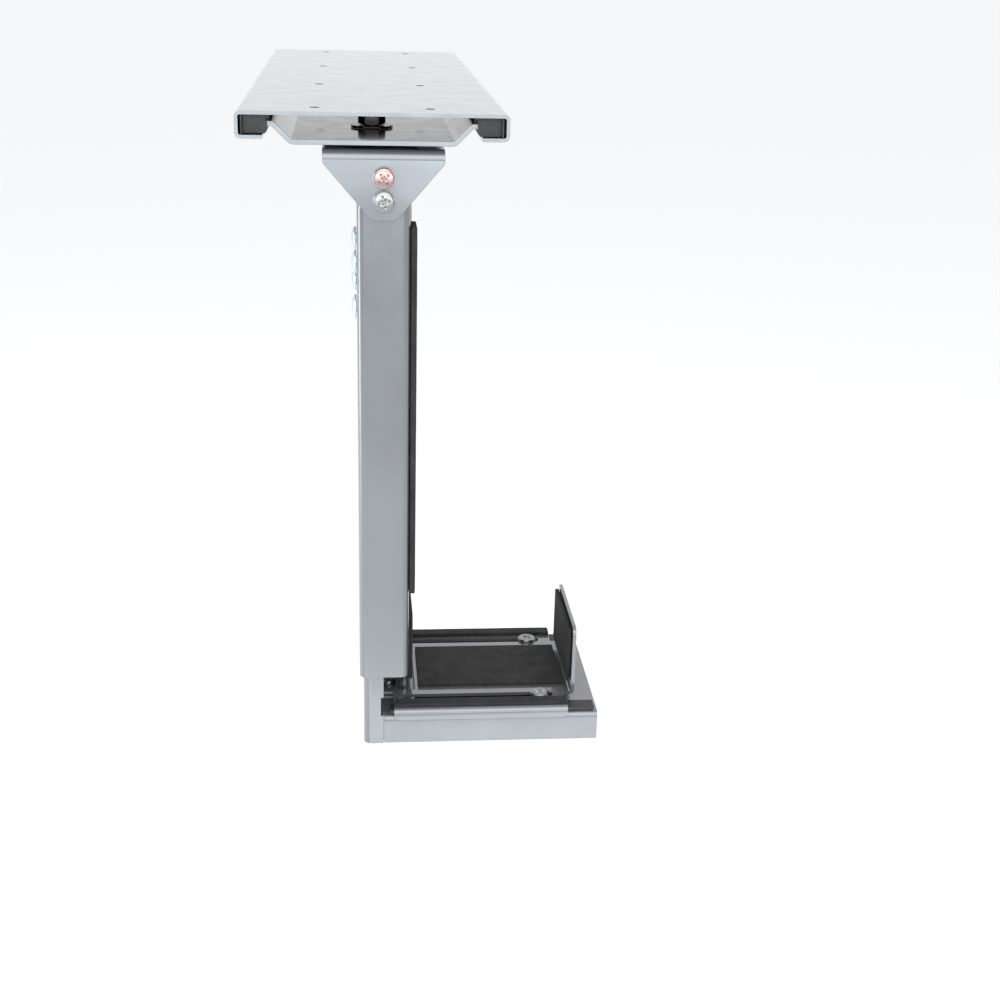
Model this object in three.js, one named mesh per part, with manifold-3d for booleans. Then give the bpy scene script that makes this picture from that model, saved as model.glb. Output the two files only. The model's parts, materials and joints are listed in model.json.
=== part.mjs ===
// Under-desk computer holder: a swivelling, sliding steel cradle that hangs from a desk top.
// Millimetres. X points right, Y to the back and Z up. The origin is the centre of the
// track's top face, the face that is screwed to the underside of the desk.
import * as THREE from "three";
import { mergeVertices } from "three/addons/utils/BufferGeometryUtils.js";
import Module from "manifold-3d";

const manifold = await Module();
manifold.setup();

// ---------------------------------------------------------------- driving dimensions
const GAP = 0.3; // clearance left between pieces that touch
const SHEET = 2; // sheet steel of the columns, the tray and the side plate
const BEND_STEPS = 4; // flat facets in each bend of a sheet

const TRACK_WIDTH = 140;
const TRACK_HEIGHT = 13.9;
const TRACK_LENGTH = 432;
const TRACK_SHEET = 1.9;
const TRACK_LIP = 14;
const TRACK_BEND = 2; // centre-line radius
const DESK_HOLE = { radius: 2.75, x: 30, y: [-195, -65, 65, 195] };
const STOP_PIN = { radius: 0.75, x: 66.6, y: 214 };

const CARRIAGE_Y = -152; // centre of the carriage, the swivel and the columns, pushed to the front
const CARRIAGE_LENGTH = 116;
const CARRIAGE_SHEET = 2.7;
const CARRIAGE_FLOOR = 84; // between the bends
const CARRIAGE_DEPTH = 9; // floor below the wings
const CARRIAGE_TOP = -5.5; // top of the wings
const CARRIAGE_WING_END = 64;
const GLIDE = { inner: 53.8, length: 30, chamfer: 1.2, peg: 2, endWall: 1.7 };

const PIVOT_RADIUS = 4;
const PIVOT_FLATS = 13;
const PIVOT_HEAD_HEIGHT = 4.6;
const PIVOT_NUT_HEIGHT = 7.5;
const PIVOT_WASHER = { radius: 11.5, height: 1 };
const DISC = { radius: 26, height: 1.4 };

const COLUMN_X = 5.5; // centre of the bracket and the columns, off the pivot
const BRACKET_SHEET = 3;
const BRACKET_WIDTH = 63.5;
const BRACKET_BEND = 4;
const BRACKET_SHOULDER = 7; // straight side of a tab, below the plate's top
const BRACKET_TAB_END = 13; // width of a tab at its lower end
const BRACKET_DROP = 36.4; // plate's top to the tabs' lower end
const BRACKET_SCREW_Z = [-33.6, -45.6];

const OUTER_WIDTH = 28.5;
const OUTER_BOTTOM = -323.5;
const OUTER_LIP = 22.7;
const COLUMN_BEND = 3.5;
const PIVOT_NOTCH = { halfWidth: 5, clearance: 1 };
const OUTER_SLOT = { top: -61, bottom: -312.5 };
const INNER_TOP = -75;
const INNER_FLANGE = 11.7;
const HEIGHT_BOLT_Z = [-82, -106.5];
const HEIGHT_BOLT_SPREAD = 35; // from the column's centre, front and back
const CUP_HEAD = { radius: 6.6, height: 2.9, neck: 6 };
const NUT_FLANGE = { radius: 6.6, height: 1.4 };

const CONTACT_X = 23.5; // plane of the pads that touch the computer's left side
const COMPUTER_WIDTH = 92.6;
const UPPER_PAD = { width: 20, top: -60, bottom: -271 };

const TRAY_TOP = -350;
const TRAY_FLANGE = 18;
const TRAY_BEND = 2.6;
const TRAY_LAP = { reach: 6, sheet: 1.5 }; // ears of the tray behind the inner column's flanges
const RELIEF = { depth: 1.6, height: 12 }; // step in those flanges where the slider's lips run past
const TRAY_END = 133.5;
const STRIP = { height: 2.5, width: 9 }; // nylon strips between the two halves of the tray
const SLIDER_START = 11.5;
const SLIDER_LIP = 7;
const SLIDER_TRAVEL = { inward: 4, outward: 80 };
const FLOOR_PAD = 2;
const STOP_LIP = { height: 42, inset: 18 }; // upright right end of the slider
const SIDE_PLATE = { width: 52, top: -297 };
const LOCK = { x: 100, spread: 38, washer: 1.2 };

const M6 = { shank: 3, head: 5.9, headHeight: 2.7, flats: 10, nutHeight: 5 };
const M5 = { shank: 2.5, head: 4.75, headHeight: 2.4, flats: 8, nutHeight: 4.5 };

// ---------------------------------------------------------------- worked-out positions
const TRACK_INNER = TRACK_WIDTH / 2 - TRACK_SHEET;
const CARRIAGE_FRONT = CARRIAGE_Y - CARRIAGE_LENGTH / 2;
const CARRIAGE_BACK = CARRIAGE_Y + CARRIAGE_LENGTH / 2;
const FLOOR_TOP = CARRIAGE_TOP - CARRIAGE_DEPTH;
const FLOOR_BOTTOM = FLOOR_TOP - CARRIAGE_SHEET;
const DISC_BOTTOM = FLOOR_BOTTOM - GAP - DISC.height;
const BRACKET_TOP = DISC_BOTTOM - GAP;
const BRACKET_UNDER = BRACKET_TOP - BRACKET_SHEET;
const OUTER_TOP = BRACKET_UNDER - PIVOT_WASHER.height - 2 * GAP - 0.2;
const OUTER_LEFT = COLUMN_X - OUTER_WIDTH / 2;
const OUTER_RIGHT = COLUMN_X + OUTER_WIDTH / 2;
const OUTER_FRONT = CARRIAGE_FRONT + BRACKET_SHEET + GAP;
const OUTER_BACK = CARRIAGE_BACK - BRACKET_SHEET - GAP;
const INNER_LEFT = OUTER_LEFT + SHEET + GAP;
const INNER_RIGHT = INNER_LEFT + INNER_FLANGE;
const INNER_FRONT = OUTER_FRONT + SHEET + GAP;
const INNER_BACK = OUTER_BACK - SHEET - GAP;
const INNER_BOTTOM = TRAY_TOP - TRAY_FLANGE - GAP;
const WEB_FACE = INNER_LEFT + SHEET; // inner column's web, on the computer's side
const STRIP_BOTTOM = TRAY_TOP + GAP;
const STRIP_TOP = STRIP_BOTTOM + STRIP.height;
const SLIDER_BOTTOM = STRIP_TOP + GAP;
const SLIDER_TOP = SLIDER_BOTTOM + SHEET;
const LIP_PAD_LEFT = CONTACT_X + COMPUTER_WIDTH + GAP;
const LIP_PAD_RIGHT = LIP_PAD_LEFT + 2.5;
const STOP_LIP_LEFT = LIP_PAD_RIGHT + GAP;
const STOP_LIP_RIGHT = STOP_LIP_LEFT + SHEET;
const SIDE_PLATE_RIGHT = OUTER_RIGHT - GAP;
const NOTCH_END = SIDE_PLATE_RIGHT + SLIDER_TRAVEL.inward + 1.3;

// ---------------------------------------------------------------- materials
const finish = (color, roughness, metalness) =>
  new THREE.MeshStandardMaterial({ color, roughness, metalness });
const steelCoat = () => finish(0xb9c3c9, 0.45, 0.35);
const zinc = () => finish(0xc9c9c4, 0.28, 1);
const blackSteel = () => finish(0x1b1a1a, 0.25, 0.9);
const nylon = () => finish(0x17181a, 0.5, 0);
const foam = () => finish(0x121314, 0.92, 0);

// ---------------------------------------------------------------- solids
function solid(geometry) {
  const plain = geometry.index ? geometry.toNonIndexed() : geometry.clone();
  plain.deleteAttribute("normal");
  plain.deleteAttribute("uv");
  const merged = mergeVertices(plain, 1e-4);
  return new manifold.Manifold(new manifold.Mesh({
    numProp: 3,
    vertProperties: new Float32Array(merged.attributes.position.array),
    triVerts: new Uint32Array(merged.index.array),
  }));
}

function geometryOf(body) {
  const mesh = body.getMesh();
  const geometry = new THREE.BufferGeometry();
  geometry.setAttribute("position", new THREE.BufferAttribute(new Float32Array(mesh.vertProperties), 3));
  geometry.setIndex(new THREE.BufferAttribute(new Uint32Array(mesh.triVerts), 1));
  const flat = geometry.toNonIndexed();
  flat.computeVertexNormals();
  return flat;
}

const joinAll = (geometries) => geometryOf(geometries.map(solid).reduce((sum, body) => sum.add(body)));

function cut(geometry, tools) {
  const result = tools.map(solid).reduce((body, tool) => body.subtract(tool), solid(geometry));
  return geometryOf(result);
}

const keepInside = (geometry, outline) => geometryOf(solid(geometry).intersect(solid(outline)));

// Columns of each turn: where the outline's first axis, its second axis and its depth point.
const PLANES = {
  xy: [[1, 0, 0], [0, 1, 0], [0, 0, 1]],
  yz: [[0, 1, 0], [0, 0, 1], [1, 0, 0]],
  xz: [[1, 0, 0], [0, 0, 1], [0, -1, 0]],
};

// An outline drawn in one plane and carried along the third axis, from one place to another.
function extrude(plane, outline, from, to) {
  const shape = outline instanceof THREE.Shape ? outline : new THREE.Shape(outline);
  const geometry = new THREE.ExtrudeGeometry(shape, {
    depth: to - from, bevelEnabled: false, curveSegments: 6,
  });
  const [first, second, depth] = PLANES[plane].map((axis) => new THREE.Vector3(...axis));
  geometry.applyMatrix4(new THREE.Matrix4().makeBasis(first, second, depth));
  const start = plane === "xz" ? depth.clone().multiplyScalar(-to) : depth.clone().multiplyScalar(from);
  return geometry.translate(start.x, start.y, start.z);
}

const points = (pairs) => pairs.map(([a, b]) => new THREE.Vector2(a, b));

function box(x, y, z) {
  const geometry = new THREE.BoxGeometry(x[1] - x[0], y[1] - y[0], z[1] - z[0]);
  return geometry.translate((x[0] + x[1]) / 2, (y[0] + y[1]) / 2, (z[0] + z[1]) / 2);
}

// A cylinder that stands on the origin along the named axis, then moves to its place.
function cylinder(axis, radius, length, [x, y, z], sides = 20) {
  const geometry = new THREE.CylinderGeometry(radius, radius, length, sides);
  geometry.rotateX(Math.PI / 2).translate(0, 0, length / 2);
  return turn(geometry, axis).translate(x, y, z);
}

// Turns a piece that points along +Z so that it points along the named axis.
function turn(geometry, axis) {
  if (axis === "+x") return geometry.rotateY(Math.PI / 2);
  if (axis === "-x") return geometry.rotateY(-Math.PI / 2);
  if (axis === "+y") return geometry.rotateX(-Math.PI / 2);
  if (axis === "-y") return geometry.rotateX(Math.PI / 2);
  if (axis === "-z") return geometry.rotateX(Math.PI);
  return geometry;
}

// The cross-section of a bent sheet: a centre line with rounded corners, given a thickness.
function sheetOutline(corners, thickness, bend) {
  const line = points(corners);
  const left = [];
  const right = [];
  const place = (point, direction) => {
    const side = new THREE.Vector2(-direction.y, direction.x).multiplyScalar(thickness / 2);
    left.push(point.clone().add(side));
    right.unshift(point.clone().sub(side));
  };
  line.forEach((corner, i) => {
    const before = i > 0 ? corner.clone().sub(line[i - 1]).normalize() : null;
    const after = i < line.length - 1 ? line[i + 1].clone().sub(corner).normalize() : null;
    if (!before || !after) {
      place(corner, before ?? after);
      return;
    }
    const swing = Math.atan2(before.cross(after), before.dot(after));
    const reach = bend * Math.tan(Math.abs(swing) / 2);
    const start = corner.clone().addScaledVector(before, -reach);
    const inward = new THREE.Vector2(-before.y, before.x).multiplyScalar(Math.sign(swing) * bend);
    const centre = start.clone().add(inward);
    for (let step = 0; step <= BEND_STEPS; step += 1) {
      const turned = (swing * step) / BEND_STEPS;
      const heading = before.clone().rotateAround(new THREE.Vector2(), turned);
      place(start.clone().rotateAround(centre, turned), heading);
    }
  });
  return [...left, ...right];
}

// A polygon whose corners are rounded, each by its own radius.
function roundedOutline(corners) {
  const shape = new THREE.Shape();
  const line = points(corners);
  line.forEach((corner, i) => {
    const radius = corners[i][2] ?? 0;
    const before = line[(i + line.length - 1) % line.length].clone().sub(corner).normalize();
    const after = line[(i + 1) % line.length].clone().sub(corner).normalize();
    const start = corner.clone().addScaledVector(before, radius);
    const end = corner.clone().addScaledVector(after, radius);
    if (i === 0) shape.moveTo(start.x, start.y);
    else shape.lineTo(start.x, start.y);
    if (radius > 0) shape.quadraticCurveTo(corner.x, corner.y, end.x, end.y);
  });
  shape.closePath();
  return shape;
}

// A slot with round ends, between the centres of its ends, in the plane given.
function slot(plane, start, end, radius, from, to) {
  const [[a0, b0], [a1, b1]] = [start, end];
  const along = Math.atan2(b1 - b0, a1 - a0);
  const shape = new THREE.Shape();
  shape.absarc(a1, b1, radius, along - Math.PI / 2, along + Math.PI / 2, false);
  shape.absarc(a0, b0, radius, along + Math.PI / 2, along + (3 * Math.PI) / 2, false);
  return extrude(plane, shape, from, to);
}

// ---------------------------------------------------------------- fasteners
// Each is made pointing up +Z: a head sits on z = 0 and its shank hangs below.
function crossHeadScrew(size, shankLength) {
  const rim = size.headHeight * 0.45;
  const profile = points([
    [0, -shankLength], [size.shank, -shankLength], [size.shank, 0], [size.head, 0], [size.head, rim],
    [size.head * 0.84, size.headHeight * 0.86], [size.head * 0.55, size.headHeight], [0, size.headHeight],
  ]);
  const body = new THREE.LatheGeometry(profile, 18).rotateX(Math.PI / 2);
  const arm = size.head * 0.42;
  const half = size.head * 0.1;
  const depth = [size.headHeight * 0.4, size.headHeight + 1];
  return cut(body, [box([-arm, arm], [-half, half], depth), box([-half, half], [-arm, arm], depth)]);
}

const hexagon = (flats, height) => cylinder("+z", flats / Math.sqrt(3), height, [0, 0, 0], 6);

function nut(size, height = size.nutHeight) {
  return cut(hexagon(size.flats, height), [cylinder("+z", size.shank + GAP, height + 2, [0, 0, -1], 16)]);
}

function washer(radius, bore, height) {
  const disc = cylinder("+z", radius, height, [0, 0, 0], 28);
  return cut(disc, [cylinder("+z", bore, height + 2, [0, 0, -1], 18)]);
}

const placed = (piece, axis, [x, y, z]) => turn(piece, axis).translate(x, y, z);

// ---------------------------------------------------------------- the track under the desk
function deskTrack() {
  const edge = TRACK_WIDTH / 2 - TRACK_SHEET / 2;
  const lipEnd = TRACK_WIDTH / 2 - TRACK_LIP;
  const top = -TRACK_SHEET / 2;
  const low = -TRACK_HEIGHT + TRACK_SHEET / 2;
  const section = sheetOutline([
    [-lipEnd, low], [-edge, low], [-edge, top], [edge, top], [edge, low], [lipEnd, low],
  ], TRACK_SHEET, TRACK_BEND);
  const channel = extrude("xz", section, -TRACK_LENGTH / 2, TRACK_LENGTH / 2);
  const holes = DESK_HOLE.y.flatMap((y) => [-DESK_HOLE.x, DESK_HOLE.x].map(
    (x) => cylinder("+z", DESK_HOLE.radius, 6, [x, y, -4], 16)));
  const pinHoles = stopPinPlaces().map(
    ([x, y]) => cylinder("+z", STOP_PIN.radius + GAP, 4, [x, y, -TRACK_HEIGHT - 1], 14));
  return cut(channel, [...holes, ...pinHoles]);
}

const stopPinPlaces = () => [-1, 1].flatMap(
  (side) => [-1, 1].map((end) => [side * STOP_PIN.x, end * STOP_PIN.y]));

function stopPin(x, y) {
  return cylinder("+z", STOP_PIN.radius, TRACK_HEIGHT - TRACK_SHEET - GAP, [x, y, -TRACK_HEIGHT], 14);
}

// ---------------------------------------------------------------- the carriage and its pivot
const pegPlaces = () => [-1, 1].flatMap((side) => [-1, 1].map((end) => [
  side * (GLIDE.inner + 5), CARRIAGE_Y + (end * (CARRIAGE_LENGTH - GLIDE.length)) / 2]));

function carriagePlate() {
  const half = CARRIAGE_SHEET / 2;
  const bendX = CARRIAGE_FLOOR / 2;
  const wingX = bendX + CARRIAGE_DEPTH;
  const high = CARRIAGE_TOP - half;
  const low = FLOOR_TOP - half;
  const section = sheetOutline(
    [[-CARRIAGE_WING_END, high], [-wingX, high], [-bendX, low], [bendX, low], [wingX, high],
      [CARRIAGE_WING_END, high]], CARRIAGE_SHEET, 3);
  const hat = extrude("xz", section, CARRIAGE_FRONT, CARRIAGE_BACK);
  const wingUnder = CARRIAGE_TOP - CARRIAGE_SHEET;
  const pegHoles = pegPlaces().map(
    ([x, y]) => cylinder("+z", GLIDE.peg + GAP, CARRIAGE_SHEET + 2, [x, y, wingUnder - 1], 14));
  const bore = cylinder("+z", PIVOT_RADIUS + GAP, 6, [0, CARRIAGE_Y, FLOOR_BOTTOM - 1]);
  return cut(hat, [...pegHoles, bore]);
}

// A nylon shoe that caps the corner of a wing and runs inside the track's lip.
function glide(side, end) {
  const outer = TRACK_INNER - GAP;
  const top = -TRACK_SHEET - GAP;
  const bottom = -TRACK_HEIGHT + TRACK_SHEET + GAP;
  const c = GLIDE.chamfer;
  const section = points([
    [GLIDE.inner, top], [outer - c, top], [outer, top - c], [outer, bottom + c], [outer - c, bottom],
    [GLIDE.inner + c, bottom], [GLIDE.inner, bottom + c],
  ].map(([x, z]) => [side * x, z]));
  const wingEnd = CARRIAGE_LENGTH / 2 + GAP;
  const along = (...distances) => distances.map((y) => CARRIAGE_Y + end * y).sort((a, b) => a - b);
  const block = extrude("xz", section, ...along(wingEnd + GLIDE.endWall, wingEnd - GAP - GLIDE.length));
  const grip = [side * (GLIDE.inner - 1), side * (CARRIAGE_WING_END + GAP)].sort((a, b) => a - b);
  const gripZ = [CARRIAGE_TOP - CARRIAGE_SHEET - GAP, CARRIAGE_TOP + GAP];
  const slotted = cut(block, [box(grip, along(wingEnd, wingEnd - GLIDE.length - 2), gripZ)]);
  const middle = CARRIAGE_Y + (end * (CARRIAGE_LENGTH - GLIDE.length)) / 2;
  const peg = cylinder("+z", GLIDE.peg, gripZ[1] - gripZ[0] + 1,
    [side * (GLIDE.inner + 5), middle, gripZ[0] - 0.5], 14);
  return joinAll([slotted, peg]);
}

const pivotSeat = FLOOR_TOP + 2 * GAP + PIVOT_WASHER.height; // underside of the bolt's head
const pivotNutBottom = BRACKET_UNDER - 2 * GAP - PIVOT_WASHER.height - PIVOT_NUT_HEIGHT;

function pivotBolt() {
  const tip = pivotNutBottom - 1;
  const head = hexagon(PIVOT_FLATS, PIVOT_HEAD_HEIGHT).rotateZ(Math.PI / 6);
  head.translate(0, CARRIAGE_Y, pivotSeat);
  const shank = cylinder("+z", PIVOT_RADIUS, pivotSeat - tip + 1, [0, CARRIAGE_Y, tip]);
  return joinAll([head, shank]);
}

const pivotSize = { shank: PIVOT_RADIUS, flats: PIVOT_FLATS };
const pivotNut = () => nut(pivotSize, PIVOT_NUT_HEIGHT).translate(0, CARRIAGE_Y, pivotNutBottom);

function pivotRing(radius, height, bottom) {
  return washer(radius, PIVOT_RADIUS + GAP, height).translate(0, CARRIAGE_Y, bottom);
}

// ---------------------------------------------------------------- the swivelling upper half
function swivelBracket() {
  const half = BRACKET_SHEET / 2;
  const front = CARRIAGE_FRONT + half;
  const back = CARRIAGE_BACK - half;
  const high = BRACKET_TOP - half;
  const low = BRACKET_TOP - BRACKET_DROP;
  const left = COLUMN_X - BRACKET_WIDTH / 2;
  const right = COLUMN_X + BRACKET_WIDTH / 2;
  const section = sheetOutline([[front, low - 1], [front, high], [back, high], [back, low - 1]],
    BRACKET_SHEET, BRACKET_BEND);
  const strap = extrude("yz", section, left, right);
  const shoulder = BRACKET_TOP - BRACKET_SHOULDER;
  const outline = roundedOutline([
    [left, BRACKET_TOP + 1], [left, shoulder, 1.5], [COLUMN_X - BRACKET_TAB_END / 2, low, 2],
    [COLUMN_X + BRACKET_TAB_END / 2, low, 2], [right, shoulder, 1.5], [right, BRACKET_TOP + 1],
  ]);
  const tabs = keepInside(strap, extrude("xz", outline, CARRIAGE_FRONT - 1, CARRIAGE_BACK + 1));
  const screwHoles = BRACKET_SCREW_Z.map((z) => cylinder(
    "+y", M6.shank + GAP, CARRIAGE_LENGTH + 4, [COLUMN_X, CARRIAGE_FRONT - 2, z], 16));
  const bore = cylinder("+z", PIVOT_RADIUS + GAP, 6, [0, CARRIAGE_Y, BRACKET_UNDER - 1]);
  return cut(tabs, [...screwHoles, bore]);
}

const bracketScrew = () => crossHeadScrew(M6, BRACKET_SHEET + SHEET + M6.nutHeight + 2);

function outerColumn() {
  const half = SHEET / 2;
  const left = OUTER_LEFT + half;
  const right = OUTER_RIGHT - half;
  const front = OUTER_FRONT + half;
  const back = OUTER_BACK - half;
  const section = sheetOutline([
    [right, OUTER_FRONT + OUTER_LIP], [right, front], [left, front], [left, back], [right, back],
    [right, OUTER_BACK - OUTER_LIP],
  ], SHEET, COLUMN_BEND);
  const channel = extrude("xy", section, OUTER_BOTTOM, OUTER_TOP);
  const radius = M6.shank + 0.4;
  const slots = heightBoltRows().map((y) => slot("yz", [y, OUTER_SLOT.top - radius],
    [y, OUTER_SLOT.bottom + radius], radius, OUTER_LEFT - 1, OUTER_LEFT + SHEET + 1));
  const screwHoles = BRACKET_SCREW_Z.map((z) => cylinder(
    "+y", M6.shank + GAP, CARRIAGE_LENGTH + 4, [COLUMN_X, CARRIAGE_FRONT - 2, z], 16));
  // The web is notched at the top, where the pivot bolt's nut turns.
  const { halfWidth, clearance } = PIVOT_NOTCH;
  const notchBottom = pivotNutBottom - clearance;
  const notch = extrude("yz", roundedOutline([
    [CARRIAGE_Y - halfWidth, OUTER_TOP + 1], [CARRIAGE_Y - halfWidth, notchBottom, 2],
    [CARRIAGE_Y + halfWidth, notchBottom, 2], [CARRIAGE_Y + halfWidth, OUTER_TOP + 1],
  ]), OUTER_LEFT - 1, OUTER_LEFT + SHEET + 1);
  return cut(channel, [...slots, ...screwHoles, notch]);
}

function upperPad(start) {
  const { width, bottom, top } = UPPER_PAD;
  return box([OUTER_RIGHT + GAP, CONTACT_X], [start, start + width], [bottom, top]);
}

// ---------------------------------------------------------------- the lower half
const heightBoltRows = () => [CARRIAGE_Y - HEIGHT_BOLT_SPREAD, CARRIAGE_Y + HEIGHT_BOLT_SPREAD];
const heightBoltPlaces = (x) => heightBoltRows().flatMap((y) => HEIGHT_BOLT_Z.map((z) => [x, y, z]));

function innerColumn() {
  const half = SHEET / 2;
  const left = INNER_LEFT + half;
  const section = sheetOutline([
    [INNER_RIGHT, INNER_FRONT + half], [left, INNER_FRONT + half], [left, INNER_BACK - half],
    [INNER_RIGHT, INNER_BACK - half],
  ], SHEET, COLUMN_BEND);
  const channel = extrude("xy", section, INNER_BOTTOM, INNER_TOP);
  const boltHoles = heightBoltPlaces(INNER_LEFT - 1).map(
    (place) => cylinder("+x", M6.shank + GAP, SHEET + 2, place, 16));
  const relief = box([INNER_RIGHT - RELIEF.depth, INNER_RIGHT + 1], [INNER_FRONT - 1, INNER_BACK + 1],
    [TRAY_TOP, TRAY_TOP + RELIEF.height]);
  return cut(channel, [...boltHoles, relief]);
}

// A nylon block in each corner of the inner column's top, bearing on the outer column's lip.
function columnGuide(side) {
  const flangeFace = side < 0 ? INNER_FRONT : INNER_BACK;
  const y = (distance) => flangeFace - side * distance;
  const bearing = OUTER_RIGHT - SHEET - GAP;
  const outline = points([
    [WEB_FACE + 1.5, y(SHEET + GAP)], [WEB_FACE + GAP, y(SHEET + GAP + 1.5)], [WEB_FACE + GAP, y(8)],
    [INNER_RIGHT + GAP, y(8)], [INNER_RIGHT + GAP, y(18)], [bearing, y(18)], [bearing, y(2)],
    [bearing - 1.5, y(0)], [INNER_RIGHT + GAP, y(0)], [INNER_RIGHT + GAP, y(SHEET + GAP)],
  ]);
  return extrude("xy", outline, INNER_TOP - 43, INNER_TOP - 3);
}

// A cup-head bolt: its square neck sits in the outer column's slot and can't turn.
function heightBolt() {
  const { radius, height, neck } = CUP_HEAD;
  const length = 2 * SHEET + 3 * GAP + M6.nutHeight + 1;
  const dome = [0, 0.25, 0.5, 0.75, 1].map((step) => {
    const angle = (step * Math.PI) / 2;
    return [radius * Math.cos(angle), height * (0.2 + 0.8 * Math.sin(angle))];
  });
  dome[dome.length - 1][0] = 0;
  const profile = points([[0, -length], [M6.shank, -length], [M6.shank, 0], [radius, 0], ...dome]);
  const body = new THREE.LatheGeometry(profile, 22).rotateX(Math.PI / 2);
  const square = box([-neck / 2, neck / 2], [-neck / 2, neck / 2], [-SHEET - GAP + 0.1, 0.5]);
  return joinAll([body, square]);
}

// A flange nut behind the inner column's web.
function heightNut() {
  const flange = cylinder("+z", NUT_FLANGE.radius, NUT_FLANGE.height, [0, 0, 0], 22);
  const blank = joinAll([flange, hexagon(M6.flats, M6.nutHeight)]);
  return cut(blank, [cylinder("+z", M6.shank + GAP, M6.nutHeight + 2, [0, 0, -1], 16)]);
}

// The fixed half of the tray: a channel with its flanges down, welded to the inner column.
function trayBase() {
  const half = SHEET / 2;
  const section = sheetOutline([
    [INNER_FRONT + half, TRAY_TOP - TRAY_FLANGE], [INNER_FRONT + half, TRAY_TOP - half],
    [INNER_BACK - half, TRAY_TOP - half], [INNER_BACK - half, TRAY_TOP - TRAY_FLANGE],
  ], SHEET, TRAY_BEND);
  const channel = extrude("yz", section, INNER_RIGHT + GAP, TRAY_END);
  const tongueSection = sheetOutline([
    [WEB_FACE + GAP + half, TRAY_TOP - 15], [WEB_FACE + GAP + half, TRAY_TOP - half],
    [INNER_RIGHT + 2, TRAY_TOP - half],
  ], SHEET, TRAY_BEND);
  const margin = SHEET + 3;
  const tongue = extrude("xz", tongueSection, INNER_FRONT + margin, INNER_BACK - margin);
  const screwHoles = [...lockPlaces(TRAY_TOP - 4), ...sidePlateScrews(TRAY_TOP - 4)].map(
    (place) => cylinder("+z", M5.shank + GAP, 6, place, 14));
  return cut(joinAll([channel, tongue, ...trayLap(-1), ...trayLap(1)]), screwHoles);
}

// An ear that carries on from the tray's flange, one sheet further in, behind the inner column's flange.
function trayLap(side) {
  const face = side < 0 ? INNER_FRONT : INNER_BACK;
  const inside = SHEET + GAP;
  const y = (from, to) => [face - side * from, face - side * to].sort((a, b) => a - b);
  const z = [TRAY_TOP - TRAY_FLANGE, TRAY_TOP - SHEET];
  const ear = box([INNER_RIGHT - TRAY_LAP.reach, INNER_RIGHT + TRAY_LAP.reach],
    y(inside, inside + TRAY_LAP.sheet), z);
  const step = box([INNER_RIGHT + GAP, INNER_RIGHT + TRAY_LAP.reach], y(SHEET / 2, inside + 0.5), z);
  return [ear, step];
}

function slideStrip(start) {
  return box([INNER_RIGHT + 4, TRAY_END - 2], [start, start + STRIP.width], [STRIP_BOTTOM, STRIP_TOP]);
}

// An angle that stands on the tray beside the computer and fills the gap between the column's lips.
const sidePlateScrews = (z) => [-13, 13].map((offset) => [INNER_RIGHT + 3.5, CARRIAGE_Y + offset, z]);

function sidePlate() {
  const half = SHEET / 2;
  const section = sheetOutline([
    [WEB_FACE + 3, TRAY_TOP + GAP + half], [SIDE_PLATE_RIGHT - half, TRAY_TOP + GAP + half],
    [SIDE_PLATE_RIGHT - half, SIDE_PLATE.top],
  ], SHEET, TRAY_BEND);
  const halfWidth = SIDE_PLATE.width / 2;
  const angle = extrude("xz", section, CARRIAGE_Y - halfWidth, CARRIAGE_Y + halfWidth);
  const holes = sidePlateScrews(TRAY_TOP - 1).map(
    (place) => cylinder("+z", M5.shank + GAP, 6, place, 14));
  return cut(angle, holes);
}

function sidePad() {
  const half = SIDE_PLATE.width / 2 - 1;
  return box([SIDE_PLATE_RIGHT + GAP, CONTACT_X], [CARRIAGE_Y - half, CARRIAGE_Y + half],
    [SLIDER_TOP + FLOOR_PAD + 3, SIDE_PLATE.top]);
}

const lockPlaces = (z) => [-LOCK.spread, LOCK.spread].map((offset) => [LOCK.x, CARRIAGE_Y + offset, z]);
const lockSize = { ...M5, head: 5.9, headHeight: 1.7 };

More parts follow.
